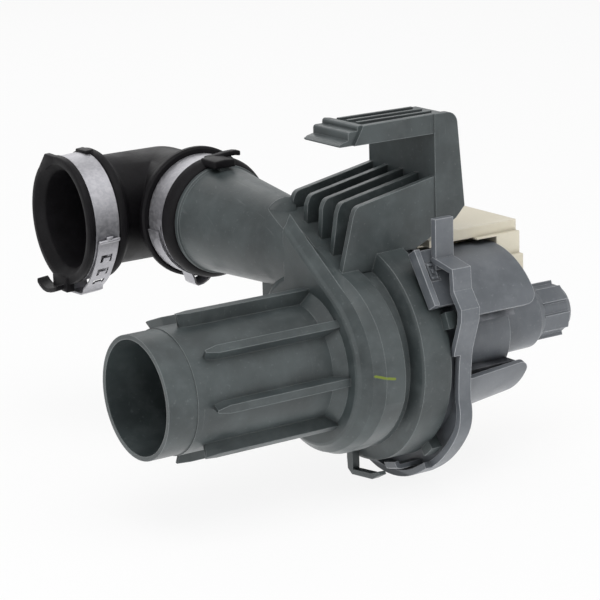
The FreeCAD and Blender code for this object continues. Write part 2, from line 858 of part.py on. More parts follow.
def bearing_plate():
    """Disc that closes the rotor can and carries the front bearing."""
    seat = cup_seat_r()
    back = spigot_front_x()
    seat_end = front_bearing_x + bearing_long
    disc = cyl_x(ring_step_x, back, ring_bore_r - 2.0)
    boss = cyl_x(ring_step_x, seat_end, seat + cup_wall)
    collar = ring_about_x(back - 1.0, back + 1.6, spigot_bore_r, spigot_bore_r - 2.4)
    body = fused([disc, boss, collar])
    body = body.cut(cyl_x(front_bearing_x, seat_end + 1.0, seat))
    body = body.cut(cyl_x(ring_step_x - 1.0, front_bearing_x + 1.0, shaft_r + 1.2))
    hole = cyl_x(ring_step_x - 1.0, back + 1.0, plate_hole_r, 0.0, seat + 5.0)
    for count in range(plate_holes):
        body = body.cut(about_x(hole, (count + 0.5) * 360.0 / plate_holes))
    return body


def bearing_cup(x0):
    return ring_about_x(x0, x0 + bearing_long - cup_short, cup_seat_r(), bearing_r)


def bearing(x0):
    end = x0 + bearing_long
    sleeve = ring_about_x(x0, end, bearing_r, shaft_r + bearing_gap)
    notch = box(x0 - 1.0, end + 1.0, -0.8, 0.8, shaft_r, shaft_r + 0.9)
    for count in range(bearing_grooves):
        sleeve = sleeve.cut(about_x(notch, count * 360.0 / bearing_grooves))
    return sleeve


def rotor_shaft():
    body = cyl_x(shaft_front_x, shaft_rear_x, shaft_r)
    front_edge = turned([
        (shaft_front_x - 1.0, shaft_r - 0.6), (shaft_front_x - 1.0, shaft_r + 1.0),
        (shaft_front_x + 0.6, shaft_r + 1.0), (shaft_front_x + 0.6, shaft_r), (shaft_front_x, shaft_r - 0.6),
    ])
    return body.cut(front_edge)


def rotor_magnet():
    bore = shaft_r + magnet_bore_gap
    body = ring_about_x(magnet_front_x, magnet_rear_x, magnet_r, bore)
    key = box(magnet_front_x - 1.0, magnet_front_x + 3.0, -1.5, 1.5, bore - 1.0, bore + 2.0)
    return body.cut(key).cut(about_x(key, 180.0))


def rotor_jacket():
    """Plastic jacket round the magnet with a boss toward each thrust washer."""
    outer = magnet_r + jacket_wall
    boss = shaft_r + jacket_boss
    front = magnet_front_x - 2.0 * jacket_wall
    rear = magnet_rear_x + jacket_wall
    boss_front = front_washer_x() + washer_thick
    body = turned([
        (boss_front, shaft_r), (boss_front, boss), (front, boss + 1.0), (front, outer - 0.6),
        (front + 0.6, outer), (rear, outer), (rear, boss), (rear_washer_x(), boss), (rear_washer_x(), shaft_r),
    ])
    return body.cut(rotor_magnet())


def front_washer_x():
    return front_bearing_x + bearing_long + washer_gap


def rear_washer_x():
    return rear_bearing_x - washer_gap - washer_thick


def thrust_washer(x0):
    return ring_about_x(x0, x0 + washer_thick, washer_r, shaft_r)


def stator_core():
    """Laminated core with two legs round the can, joined by a yoke behind the coils."""
    back_y = yoke_y + yoke_deep
    near = -leg_outer_z
    out = leg_outer_z
    front = stack_front_x
    rear = stack_rear_x
    legs = box(front, rear, near, back_y, -out, out)
    window = box(front - 1.0, rear + 1.0, near - 1.0, yoke_y, -leg_inner_z, leg_inner_z)
    bore = cyl_x(front - 1.0, rear + 1.0, can_r)
    round_keep = cyl_x(front, rear, out + pole_round)
    back_keep = box(front, rear, 0.0, back_y, -out, out)
    body = legs.cut(window).cut(bore).common(round_keep.fuse(back_keep))
    deep = groove_deep
    for count in range(-1, 2):
        x = (front + rear) / 2.0 + count * groove_pitch
        groove = box(x, x + groove_wide, near - 1.0, back_y + 1.0, -out - 1.0, out + 1.0)
        core = box(x - 1.0, x + 1.0, near + deep, back_y - deep, -out + deep, out - deep)
        body = body.cut(groove.cut(core))
    for y, z in rivet_places():
        body = body.cut(cyl_x(front - 1.0, rear + 1.0, rivet_r, y, z))
    return body


def rivet_places():
    corner = yoke_y + yoke_deep - 5.0
    leg = (leg_outer_z + leg_inner_z) / 2.0
    return [(corner, leg), (corner, -leg), (corner, leg / 4.0), (corner, -leg / 4.0)]


def core_rivets():
    rivets = []
    for y, z in rivet_places():
        shank = cyl_x(stack_front_x - 1.0, stack_rear_x + 1.0, rivet_r, y, z)
        head = cyl_x(stack_front_x - 1.2, stack_front_x, rivet_r + rivet_head, y, z)
        tail = cyl_x(stack_rear_x, stack_rear_x + 1.2, rivet_r + rivet_head, y, z)
        rivets.append(fused([shank, head, tail]))
    return Part.makeCompound(rivets)


def leg_box(grow, y0, y1):
    return box(stack_front_x - grow, stack_rear_x + grow, y0, y1,
               leg_inner_z - grow, leg_outer_z + grow)


def bobbin():
    y0 = coil_start_y
    y1 = coil_start_y + coil_long
    tube = leg_box(bobbin_wall, y0, y1)
    near_cheek = leg_box(bobbin_wall + coil_thick, y0, y0 + cheek_thick)
    far_cheek = leg_box(bobbin_wall + coil_thick, y1 - cheek_thick, y1)
    return fused([tube, near_cheek, far_cheek]).cut(leg_box(0.0, y0 - 1.0, y1 + 1.0))


def coil():
    """Wound coil as one rounded block round the core leg."""
    y0 = coil_start_y + cheek_thick + coil_gap
    y1 = coil_start_y + coil_long - cheek_thick - coil_gap
    block = leg_box(bobbin_wall + coil_thick - coil_gap, y0, y1)
    edges = [e for e in block.Edges if abs(e.tangentAt(e.FirstParameter).y) > 0.9]
    return block.makeFillet(coil_thick * 0.8, edges).cut(leg_box(bobbin_wall, y0 - 1.0, y1 + 1.0))


def mirrored(shape):
    return shape.mirror(vec(0, 0, 0), vec(0, 0, 1))


def coil_cover():
    """Cover of the coils: a box behind the can, a roof over it and a stepped hood at the rear."""
    w = cover_wall
    near = cover_box_y
    top_z = cover_top_z
    under_z = cover_top_z - cover_roof
    hood_z = tail_r + hood_gap
    front = cover_rim_x
    rear = cover_rear_x
    step_y = cover_near_y - cover_step
    outer = box(front, rear, near, cover_far_y, cover_low_z, top_z)
    far_edges = []
    for edge in outer.Edges:
        middle = edge.BoundBox.Center
        if middle.y > cover_far_y - 0.1 or middle.z < cover_low_z + 0.1:
            far_edges.append(edge)
    outer = outer.makeFillet(cover_round, far_edges)
    inner = box(front + w, rear - w, near - 1.0, cover_far_y - w, cover_low_z + w, top_z - w)
    roof = box(cover_front_x, rear, cover_near_y, near + 1.0, under_z, top_z)
    lip = box(cover_front_x, cover_front_x + cover_lip, cover_near_y - 3.5 * cover_step, near + 1.0,
              top_z - 2.6, top_z)
    hood = box(hood_front_x, rear, step_y, near + 1.0, hood_z, under_z)
    ledge = box(hood_front_x - 9.2, rear, step_y, near, under_z - 0.6, under_z)
    low = box(hood_front_x, rear, step_y - cover_step, near, hood_z, (hood_z + top_z) / 2.0 - 0.8)
    hollow = box(hood_front_x + w, rear - w, step_y + w, near + 2.0, hood_z - 1.0, under_z - w)
    rim = box(front - 1.0, rear + 1.0, near, near + 3.0, cover_low_z - 1.0, cover_low_z + w + 1.0)
    body = fused([outer, roof, lip, hood, ledge, low, rim]).cut(inner).cut(hollow)
    slot = box(stack_front_x, stack_rear_x, near - 1.0, near + w + 1.0, -leg_outer_z, leg_outer_z)
    body = body.cut(slot).cut(terminal_blades())
    vent = box(front - 1.0, rear + 1.0, 0.0, cover_vent, -leg_outer_z + 2.0, -leg_inner_z)
    for count in range(4):
        hole = vent.copy()
        hole.translate(vec(0, coil_start_y + 4.0 + count * 2.0 * cover_vent, 0))
        body = body.cut(hole)
    return body


def terminal_blades():
    blades = []
    half = blade_wide / 2.0
    for y in (blade_y, blade_y + blade_spread):
        blades.append(box(cover_rear_x - 6.0, cover_rear_x + blade_out, y, y + blade_gauge,
                          blade_z - half, blade_z + half))
    return Part.makeCompound(blades)


def elbow_start_y():
    return discharge_end_y + bead_long


def elbow_collar_profile(start, seat_r):
    """Raised collar behind a clamp, as points along the leg and radii."""
    top = elbow_r + elbow_collar
    end = start + elbow_collar_long
    return [
        (start, seat_r - 1.0), (start, top - 0.8), (start + 0.8, top),
        (end - 1.0, top), (end, top - 1.0), (end + 1.5, elbow_body_r - 1.0),
    ]


def outlet_elbow():
    """Rubber elbow with a thick lip at each end and a collar behind each clamp."""
    x0 = elbow_free_x
    y0 = elbow_start_y()
    z = discharge_z
    r = elbow_r
    free_r = elbow_free_r
    rest_x = x0 + elbow_lip_long + band_wide + 2.0 * band_gap
    lip = turned([
        (x0, 0.0), (x0, free_r + elbow_lip - 0.4), (x0 + 0.4, free_r + elbow_lip),
        (x0 + elbow_lip_long, free_r + elbow_lip), (x0 + elbow_lip_long, free_r), (rest_x + 0.5, free_r),
        (rest_x + 0.5, 0.0),
    ])
    free_collar = turned(elbow_collar_profile(rest_x, free_r))
    free_end = lip.fuse(free_collar)
    free_end.translate(vec(0, elbow_y, z))
    bead_end = y0 + elbow_bead_long
    bead = on_discharge(turned([
        (y0, r - 1.0), (y0 + 1.5, r + 0.4), (y0 + 3.4, r + elbow_bead),
        (bead_end, r + elbow_bead), (bead_end, r - 1.0),
    ]))
    collar_y = bead_end + band_wide + 2.0 * band_gap
    collar = on_discharge(turned(elbow_collar_profile(collar_y, r)))
    body = [
        cyl_y(y0, collar_y + 0.5, r, discharge_x, z), cyl_y(collar_y, elbow_y, elbow_body_r, discharge_x, z),
        cyl_x(rest_x, discharge_x, elbow_body_r, elbow_y, z),
        Part.makeSphere(elbow_body_r, vec(discharge_x, elbow_y, z)),
    ]
    thick = elbow_tab_thick
    low = z - free_r - elbow_lip
    pull_y = elbow_y - 0.5
    pull_z = low - elbow_pull_drop
    pull = box(x0 - 4.4, x0 + 0.6, pull_y, pull_y + elbow_pull_long, pull_z, pull_z + thick)
    root = box(x0 - 1.0, x0 + elbow_lip_long, pull_y - 1.5, pull_y + 4.5, pull_z, low + 2.4)
    high = z + r + elbow_bead
    key_y = y0 + 1.4
    key = box(discharge_x - 2.0, discharge_x - 2.0 + elbow_tab_long, key_y, key_y + elbow_tab_wide,
              high - thick + 0.9, high + 0.9)
    tongue = box(discharge_x - 5.5, discharge_x + 2.0, y0 - 6.0, key_y, high - thick - 0.4, high)
    ear = box(x0, x0 + elbow_lip_long, -elbow_tab_wide, elbow_tab_wide, free_r - 2.0, free_r + 1.8)
    ear = about_x(ear, elbow_ear_turn)
    ear.translate(vec(0, elbow_y, z))
    body = fused(body + [free_end, bead, collar, pull, root, key, tongue, ear])
    hollow = fused([
        cyl_y(y0 - 1.0, elbow_y, elbow_bore_r, discharge_x, z),
        cyl_x(x0 - 1.0, elbow_stop_x, elbow_bore_r, elbow_y, z),
        cyl_x(elbow_stop_x - 1.0, discharge_x, elbow_bore_r - elbow_stop, elbow_y, z),
    ])
    mouth = turned([(x0 - 1.0, 0.0), (x0 - 1.0, elbow_bore_r + elbow_flare), (x0, elbow_bore_r + elbow_flare),
                    (x0 + elbow_flare, elbow_bore_r), (x0 + elbow_flare, 0.0)])
    mouth.translate(vec(0, elbow_y, z))
    tip = discharge_end_y + nozzle_long
    socket = on_discharge(turned([
        (y0 - 1.0, 0.0), (y0 - 1.0, nozzle_r), (tip - 3.0, nozzle_r), (tip - 3.0, nozzle_r + nozzle_barb),
        (tip, nozzle_r - nozzle_barb), (tip, 0.0),
    ]))
    return body.cut(hollow).cut(mouth).cut(socket)


def band(r, tail_start, tail_end, first_slot, ear_share):
    """Open steel band with an ear and a slotted tail, built round X at the origin."""
    t = band_thick
    high = ear_high * ear_share
    ring = ring_about_x(0.0, band_wide, r + t, r)
    tail = ring_about_x(tail_narrow, band_wide - tail_narrow, r + 2.0 * t, r + t / 2.0)
    tail = tail.common(sector(0.0, band_wide, 2.0 * r, tail_start, tail_end))
    half = ear_wide / 2.0
    ear_out = box(tail_narrow, band_wide - tail_narrow, -half, half, -r - high, -r)
    ear_in = box(0.0, band_wide, -half + t, half - t, -r - high + t, -r)
    body = fused([ring, tail, ear_out.cut(ear_in)])
    mid = band_wide / 2.0
    slot = box(mid - slot_long / 2.0, mid + slot_long / 2.0, -slot_wide / 2.0, slot_wide / 2.0,
               r + t, r + 4.0 * t)
    for count in range(3):
        body = body.cut(about_x(slot, first_slot + count * slot_pitch))
    return body


def outlet_clamp():
    clamp = about_x(band(elbow_free_r, 106.0, 162.0, 118.5, 1.0), outlet_clamp_turn)
    clamp.translate(vec(elbow_free_x + elbow_lip_long + band_gap, elbow_y, discharge_z))
    return clamp


def discharge_clamp():
    clamp = about_x(band(elbow_r, 186.0, 270.0, 192.0, small_ear), discharge_clamp_turn)
    clamp.translate(vec(elbow_start_y() + elbow_bead_long + band_gap, 0, 0))
    return on_discharge(clamp)


def main():
    os.makedirs("parts", exist_ok=True)
    nodes = {
        "volute_housing": volute_housing(),
        "motor_carrier": motor_carrier(),
        "housing_seal": housing_seal(),
        "wear_ring": wear_ring(),
        "impeller": impeller(),
        "impeller_shroud": impeller_shroud(),
        "impeller_nut": impeller_nut(),
        "bearing_plate": bearing_plate(),
        "front_bearing_cup": bearing_cup(front_bearing_x),
        "front_bearing": bearing(front_bearing_x),
        "rear_bearing_cup": bearing_cup(rear_bearing_x + cup_short),
        "rear_bearing": bearing(rear_bearing_x),
        "rotor_shaft": rotor_shaft(),
        "front_thrust_washer": thrust_washer(front_washer_x()),
        "rear_thrust_washer": thrust_washer(rear_washer_x()),
        "rotor_magnet": rotor_magnet(),
        "rotor_jacket": rotor_jacket(),
        "stator_core": stator_core(),
        "core_rivets": core_rivets(),
        "upper_bobbin": bobbin(),
        "lower_bobbin": mirrored(bobbin()),
        "upper_coil": coil(),
        "lower_coil": mirrored(coil()),
        "coil_cover": coil_cover(),
        "terminal_blades": terminal_blades(),
        "outlet_elbow": outlet_elbow(),
        "outlet_clamp": outlet_clamp(),
        "discharge_clamp": discharge_clamp(),
    }
    for name, shape in nodes.items():
        print(name, shape.isValid(), len(shape.Solids), round(shape.Volume), flush=True)
        shape.exportStep("parts/" + name + ".step")


main()
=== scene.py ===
import math

import bmesh
import bpy
from mathutils import Matrix, Vector


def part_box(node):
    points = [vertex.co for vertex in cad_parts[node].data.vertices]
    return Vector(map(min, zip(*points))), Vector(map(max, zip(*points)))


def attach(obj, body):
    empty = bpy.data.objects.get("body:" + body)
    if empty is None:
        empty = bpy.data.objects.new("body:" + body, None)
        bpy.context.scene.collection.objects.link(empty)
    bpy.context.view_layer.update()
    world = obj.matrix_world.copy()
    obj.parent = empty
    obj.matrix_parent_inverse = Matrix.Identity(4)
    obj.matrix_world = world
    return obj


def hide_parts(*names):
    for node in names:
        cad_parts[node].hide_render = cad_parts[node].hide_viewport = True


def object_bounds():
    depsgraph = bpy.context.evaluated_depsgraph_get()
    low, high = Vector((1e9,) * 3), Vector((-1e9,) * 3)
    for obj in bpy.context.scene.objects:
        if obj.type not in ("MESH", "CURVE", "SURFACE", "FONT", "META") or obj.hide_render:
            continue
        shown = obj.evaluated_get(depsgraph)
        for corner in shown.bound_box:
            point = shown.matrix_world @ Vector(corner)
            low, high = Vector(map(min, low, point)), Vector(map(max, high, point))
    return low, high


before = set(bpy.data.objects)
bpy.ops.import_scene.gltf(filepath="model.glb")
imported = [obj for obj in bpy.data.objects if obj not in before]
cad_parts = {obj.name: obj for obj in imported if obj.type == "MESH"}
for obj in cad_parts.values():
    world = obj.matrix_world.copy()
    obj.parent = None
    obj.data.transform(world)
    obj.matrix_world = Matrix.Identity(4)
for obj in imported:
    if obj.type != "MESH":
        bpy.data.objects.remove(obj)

cad_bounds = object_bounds()
MM = 0.001
X, Y, Z = 0, 1, 2
along_x = Vector((1.0, 0.0, 0.0))
along_y = Vector((0.0, 1.0, 0.0))
along_z = Vector((0.0, 0.0, 1.0))


def linear(red, green, blue):
    """Colour as a maker's card gives it, 0 to 255, turned into shader values."""
    parts = []
    for level in (red, green, blue):
        share = level / 255.0
        parts.append(share / 12.92 if share <= 0.04045 else ((share + 0.055) / 1.055) ** 2.4)
    return (parts[0], parts[1], parts[2], 1.0)


# Plastics and sintered pieces: deep tone, plain tone, and pale tone for dust, scratches and specks and for
# the painted highlight along edges
housing_tones = (linear(47, 53, 54), linear(60, 67, 68), linear(156, 162, 163))
carrier_tones = (linear(78, 82, 87), linear(90, 94, 99), linear(200, 202, 206))
cover_tones = (linear(198, 191, 172), linear(205, 199, 182), linear(236, 231, 219))
bobbin_tones = (linear(196, 190, 172), linear(212, 207, 192), linear(230, 227, 215))
impeller_tones = (linear(40, 42, 44), linear(54, 56, 58), linear(92, 94, 96))
washer_tones = (linear(206, 204, 198), linear(222, 220, 214), linear(236, 235, 230))
magnet_tones = (linear(44, 43, 44), linear(60, 59, 60), linear(96, 95, 96))
sleeve_tones = (linear(36, 36, 38), linear(50, 50, 52), linear(84, 84, 88))

# Rubbers: plain tone and worn tone
elbow_tones = (linear(14, 13, 15), linear(34, 33, 36))
seal_tones = (linear(28, 28, 29), linear(60, 60, 62))

# Metals: dull tone and bright tone
zinc_tones = (linear(142, 142, 146), linear(168, 167, 171))
shaft_tones = (linear(150, 152, 156), linear(206, 207, 210))
plate_tones = (linear(160, 160, 162), linear(200, 200, 202))
blade_tones = (linear(176, 172, 158), linear(214, 211, 200))
core_tones = (linear(70, 72, 76), linear(128, 130, 134))
wire_tones = (linear(92, 44, 22), linear(186, 98, 52))

# Paint dash on the near side of the drum, in metres, seen from the side
marking_yellow = linear(98, 112, 24)
dash_start = (0.0738, 0.0, 0.0018)
dash_end = (0.0798, 0.0, 0.0005)
dash_side = -0.033
dash_half_width = 0.0005
dash_blur = 0.0003

# Mesh, in millimetres and degrees
merge_gap = 0.004
on_plane = 0.001
shaded_sharp = 38.0
bevelled_sharp = 40.0
spin_steps = 120
bend_steps = 24

# Rubber elbow, in millimetres: corner of its axis, then bore, end, lip and band seat of each leg
bend = Vector((80.6, 112.0, 38.3))
elbow_bore_r = 17.8
elbow_body_r = 21.0
socket_start = 69.2
socket_bore_r = 19.3
socket_seat_r = 22.05
socket_lip = 5.6
mouth_start = 35.4
mouth_bore_r = 18.5
mouth_seat_r = 23.55
mouth_lip = 2.8
seat_wide = 10.0

# How far the free end hangs and leans, in millimetres and as a slope
sag_start_x = 58.0
mouth_sag = 1.2
mouth_lean = 0.045

# Rubber seals, in millimetres
seal_inset = 0.01

# Steel clamps, in millimetres and degrees, with the columns that each strip is divided into
strip_thick = 0.7
band_gap = 0.3
outlet_band_r = 24.0
outlet_tail_r = 24.9
discharge_band_r = 22.4
discharge_tail_r = 23.3
outlet_columns = (0.0, 2.9, 6.9, 9.4)
tail_columns = (0.6, 2.5, 7.0, 8.8)
hook_columns = (3.4, 4.7, 6.0)
discharge_columns = (0.0, 1.2, 1.9, 9.4)
leaf_columns = (2.2, 5.8, 9.3)

# Slots of the outlet clamp's tail: start and end angle, and the radius at each
tail_slots = ((115.5, 123.5, 24.9, 25.0), (131.5, 139.0, 25.2, 25.8), (145.0, 151.0, 26.4, 26.9))

# Snap tab of the carrier, in millimetres and degrees
tab_low = 41.2
tab_angle = 57.0

# Shoulder on the discharge pipe, in millimetres and degrees
shoulder_z = 42.75
shoulder_start = -62.0
shoulder_turn = 84.0
shoulder_steps = 36

# Photograph's view, in millimetres, degrees and pixels
view_azimuth = -34.1
view_elevation = 14.51
view_roll = -1.65
view_distance = 813.0
view_focal_px = 2416.0
frame_px = 600.0
origin_px = (135.24, 398.26)
sensor_mm = 36.0

# Studio, in metres and watts: place, size and power of each lamp
soft_boxes = {
    "overhead soft box": ((-0.1, -0.35, 1.15), (1.3, 1.0), 10.5),
    "left soft box": ((-1.1, -0.55, 0.35), (0.8, 0.9), 3.4),
    "right soft box": ((0.9, -0.9, 0.45), (0.7, 0.8), 2.4),
    "rear soft box": ((0.35, 1.2, 0.8), (1.0, 0.7), 3.5),
}
table_place = (0.1, -0.25)
table_size = (0.9, 0.9)
table_power = 1.6
world_level = 0.42
white = (1.0, 1.0, 1.0, 1.0)
floor_white = (0.86, 0.86, 0.86, 1.0)
floor_glow = 0.88
floor_half = 6.0
floor_drop = 0.0002


# Node helpers
def feed(tree, socket, value):
    if isinstance(value, bpy.types.NodeSocket):
        tree.links.new(value, socket)
    else:
        socket.default_value = value


def node(tree, kind, inputs=None, **settings):
    made = tree.nodes.new(kind)
    for name, value in settings.items():
        setattr(made, name, value)
    for socket, value in (inputs or {}).items():
        feed(tree, made.inputs[socket], value)
    return made


def maths(tree, operation, first, second=0.0, clamp=False):
    inputs = {0: first, 1: second}
    return node(tree, "ShaderNodeMath", inputs, operation=operation, use_clamp=clamp).outputs[0]


def product(tree, first, second):
    return maths(tree, "MULTIPLY", first, second)


def vectors(tree, operation, first, second=(0.0, 0.0, 0.0), output=0):
    inputs = {0: first, 1: second}
    return node(tree, "ShaderNodeVectorMath", inputs, operation=operation).outputs[output]


def ramp(tree, value, low, high, start=0.0, end=1.0):
    """Smooth step from start to end as the value goes from low to high."""
    inputs = {"Value": value, "From Min": low, "From Max": high, "To Min": start, "To Max": end}
    return node(tree, "ShaderNodeMapRange", inputs, interpolation_type="SMOOTHSTEP").outputs["Result"]


def tint(tree, share, first, second):
    """First colour, with a share of the second."""
    inputs = {0: share, 6: first, 7: second}
    return node(tree, "ShaderNodeMix", inputs, data_type="RGBA").outputs[2]


def noise(tree, place, scale, detail=2.0, roughness=0.5):
    inputs = {"Vector": place, "Scale": scale, "Detail": detail, "Roughness": roughness}
    return node(tree, "ShaderNodeTexNoise", inputs).outputs[0]


def object_place(tree):
    return node(tree, "ShaderNodeTexCoord").outputs["Object"]


def coordinate(tree, place, axis):
    return node(tree, "ShaderNodeSeparateXYZ", {"Vector": place}).outputs[axis]


def stretched(tree, place, scale, turn=(0.0, 0.0, 0.0)):
    inputs = {"Vector": place, "Rotation": turn, "Scale": scale}
    return node(tree, "ShaderNodeMapping", inputs).outputs["Vector"]


def raised(tree, height, normal, strength, distance):
    inputs = {"Height": height, "Normal": normal, "Strength": strength, "Distance": distance}
    return node(tree, "ShaderNodeBump", inputs).outputs[0]


# Effects that several finishes share
def group_tree(name, inputs, outputs):
    tree = bpy.data.node_groups.new(name, "ShaderNodeTree")
    for label, value in inputs.items():
        socket = tree.interface.new_socket(name=label, in_out="INPUT", socket_type="NodeSocketFloat")
        socket.default_value = value
    for label, kind in outputs.items():
        tree.interface.new_socket(name=label, in_out="OUTPUT", socket_type="NodeSocket" + kind)
    return tree, tree.nodes.new("NodeGroupInput"), tree.nodes.new("NodeGroupOutput")


def placed(tree, group, inputs=None):
    made = tree.nodes.new("ShaderNodeGroup")
    made.node_tree = group
    for socket, value in (inputs or {}).items():
        feed(tree, made.inputs[socket], value)
    return made


def rounded_edge_group():
    """Rounds sharp edges in the shading and says where edges stick out and where corners lie deep."""
    outputs = {"Normal": "Vector", "Edge": "Float", "Crease": "Float"}
    tree, entry, leave = group_tree("rounded edge", {"Radius": 0.0005, "Reach": 0.003}, outputs)
    soft = node(tree, "ShaderNodeBevel", {"Radius": entry.outputs["Radius"]}, samples=6).outputs[0]
    face = node(tree, "ShaderNodeNewGeometry").outputs["Normal"]
    bent = ramp(tree, vectors(tree, "DOT_PRODUCT", soft, face, output=1), 0.99, 0.88)
    reach = {"Distance": entry.outputs["Reach"]}
    open_share = node(tree, "ShaderNodeAmbientOcclusion", reach, samples=6).outputs["AO"]
    feed(tree, leave.inputs["Normal"], soft)
    feed(tree, leave.inputs["Edge"], product(tree, bent, ramp(tree, open_share, 0.6, 0.85)))
    feed(tree, leave.inputs["Crease"], ramp(tree, open_share, 0.75, 0.2))
    return tree


def moulded_skin_group():
    """Cloudy shading, fine spark-eroded grain and pale specks of a moulded surface."""
    outputs = {"Cloud": "Float", "Grain": "Float", "Speck": "Float"}
    tree, entry, leave = group_tree("moulded skin", {"Cloud scale": 60.0, "Grain scale": 2600.0}, outputs)
    place = object_place(tree)
    cloud = noise(tree, place, entry.outputs["Cloud scale"], 3.0, 0.55)
    grain = noise(tree, place, entry.outputs["Grain scale"], 2.0, 0.6)
    speck = noise(tree, place, 900.0, 1.0, 0.4)
    feed(tree, leave.inputs["Cloud"], ramp(tree, cloud, 0.32, 0.68))
    feed(tree, leave.inputs["Grain"], grain)
    feed(tree, leave.inputs["Speck"], ramp(tree, speck, 0.68, 0.76))
    return tree


def handling_group():
    """Fine scratches in three directions and a film of dust in patches."""
    outputs = {"Scratches": "Float", "Film": "Float"}
    tree, entry, leave = group_tree("handling marks", {"Amount": 1.0}, outputs)
    place = object_place(tree)
    marks = 0.0
    for turn in ((0.3, 0.9, 0.2), (1.2, 0.4, 2.0), (2.1, 1.7, 0.9)):
        line = noise(tree, stretched(tree, place, (1800.0, 60.0, 60.0), turn), 1.0, 1.0)
        patch = noise(tree, stretched(tree, place, (70.0, 70.0, 70.0), turn), 1.0, 1.0)
        one = product(tree, ramp(tree, line, 0.70, 0.76), ramp(tree, patch, 0.5, 0.62))
        marks = maths(tree, "MAXIMUM", one, marks)
    film = ramp(tree, noise(tree, place, 110.0, 4.0, 0.65), 0.42, 0.72)
    feed(tree, leave.inputs["Scratches"], product(tree, marks, entry.outputs["Amount"]))
    feed(tree, leave.inputs["Film"], product(tree, film, entry.outputs["Amount"]))
    return tree


edge_group = rounded_edge_group()
skin_group = moulded_skin_group()
marks_group = handling_group()


# Finishes
def blank_material(name):
    material = bpy.data.materials.new(name)
    material.use_nodes = True
    material.node_tree.nodes.clear()
    return material, material.node_tree


def finish_material(tree, colour, roughness, normal, metallic=0.0, specular=0.5):
    inputs = {"Base Color": colour, "Roughness": roughness, "Normal": normal, "Metallic": metallic,
              "Specular IOR Level": specular}
    shader = node(tree, "ShaderNodeBsdfPrincipled", inputs)
    output = node(tree, "ShaderNodeOutputMaterial")
    tree.links.new(shader.outputs[0], output.inputs["Surface"])


def paint_dash(tree, colour):
    """Stroke of marking paint between two points on the near side of the drum, ragged at its rim."""
    place = object_place(tree)
    start = Vector(dash_start)
    run = Vector(dash_end) - start
    off = vectors(tree, "SUBTRACT", vectors(tree, "MULTIPLY", place, (1.0, 0.0, 1.0)), tuple(start))
    reach = vectors(tree, "DOT_PRODUCT", off, tuple(run), output=1)
    along = maths(tree, "DIVIDE", reach, run.length_squared, True)
    inputs = {0: tuple(run), "Scale": along}
    nearest = node(tree, "ShaderNodeVectorMath", inputs, operation="SCALE").outputs[0]
    away = vectors(tree, "DISTANCE", off, nearest, output=1)
    ragged = product(tree, noise(tree, place, 1500.0), 0.0004)
    share = ramp(tree, maths(tree, "ADD", away, ragged), dash_half_width + dash_blur, dash_half_width)
    near = ramp(tree, coordinate(tree, place, Y), dash_side + MM, dash_side)
    return tint(tree, product(tree, share, near), colour, marking_yellow)


def moulding(name, tones, roughness, edge_highlight_share=0.65, dusty=0.06, reach=0.003, dash=False):
    """Moulded plastic: cloudy colour, painted highlight along its edges, painted shade in the corners, fine
    grain.
    """
    # The pale tone colours dust, scratches and specks, and is also the painted highlight along edges
    deep, base, edge = tones
    # Painted shade: a darker copy of the deep tone, for corners and creases where shade falls
    painted_corner_shade = tuple(0.45 * level for level in deep[:3]) + (1.0,)
    material, tree = blank_material(name)
    corner = placed(tree, edge_group, {"Reach": reach})
    skin = placed(tree, skin_group)
    marks = placed(tree, marks_group)
    colour = tint(tree, skin.outputs["Cloud"], deep, base)
    colour = tint(tree, product(tree, skin.outputs["Speck"], 0.07), colour, edge)
    colour = tint(tree, product(tree, marks.outputs["Scratches"], 0.05), colour, edge)
    colour = tint(tree, product(tree, marks.outputs["Film"], dusty), colour, edge)
    if dash:
        colour = paint_dash(tree, colour)
    # Painted shade laid in corners and creases, from the occlusion mask
    colour = tint(tree, product(tree, corner.outputs["Crease"], 0.9), colour, painted_corner_shade)
    # Painted highlight: the pale tone laid along edges that stick out
    colour = tint(tree, product(tree, corner.outputs["Edge"], edge_highlight_share), colour, edge)
    shine = maths(tree, "ADD", roughness, product(tree, marks.outputs["Film"], 0.16))
    normal = raised(tree, skin.outputs["Grain"], corner.outputs["Normal"], 0.35, 0.00012)
    finish_material(tree, colour, shine, normal, specular=0.36)
    return material


def soft_rubber(name, tones):
    """Matt rubber: bloom in patches, pale specks and a little wear on its edges."""
    base, worn = tones
    material, tree = blank_material(name)
    corner = placed(tree, edge_group, {"Radius": 0.0006})
    skin = placed(tree, skin_group, {"Cloud scale": 90.0, "Grain scale": 1600.0})
    marks = placed(tree, marks_group)
    colour = tint(tree, product(tree, marks.outputs["Film"], 0.28), base, worn)
    colour = tint(tree, product(tree, skin.outputs["Speck"], 0.3), colour, worn)
    colour = tint(tree, product(tree, corner.outputs["Edge"], 0.35), colour, worn)
    shine = maths(tree, "ADD", 0.46, product(tree, skin.outputs["Cloud"], 0.14))
    normal = raised(tree, skin.outputs["Grain"], corner.outputs["Normal"], 0.4, 0.00015)
    finish_material(tree, colour, shine, normal, specular=0.1)
    return material


